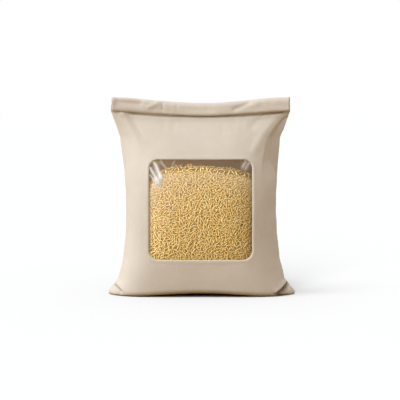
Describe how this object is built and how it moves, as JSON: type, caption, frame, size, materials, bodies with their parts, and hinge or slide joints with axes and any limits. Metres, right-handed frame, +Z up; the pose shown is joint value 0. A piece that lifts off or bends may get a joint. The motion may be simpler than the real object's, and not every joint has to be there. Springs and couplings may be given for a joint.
{
  "type": "bag of rice",
  "caption": "Upright cloth sack of long-grain rice with a folded-over top band, pointed lower corners and a rounded clear window in front that shows the grains.",
  "frame": {"origin": "on the floor, under the middle of the sack's base", "axes": "+Z up from the floor to the folded top, +Y from the front with the window to the back, +X to the right as seen from the front"},
  "size_m": [0.2776, 0.1053, 0.296],
  "materials": {
    "cloth": "plain beige cotton, close matte weave",
    "film": "clear glossy film, lightly crinkled",
    "rice": "dry long grains, golden cream, slightly waxy"
  },
  "bodies": {
    "root": {"sack": "cloth", "window_film": "film", "rice": "rice"}
  },
  "joints": []
}
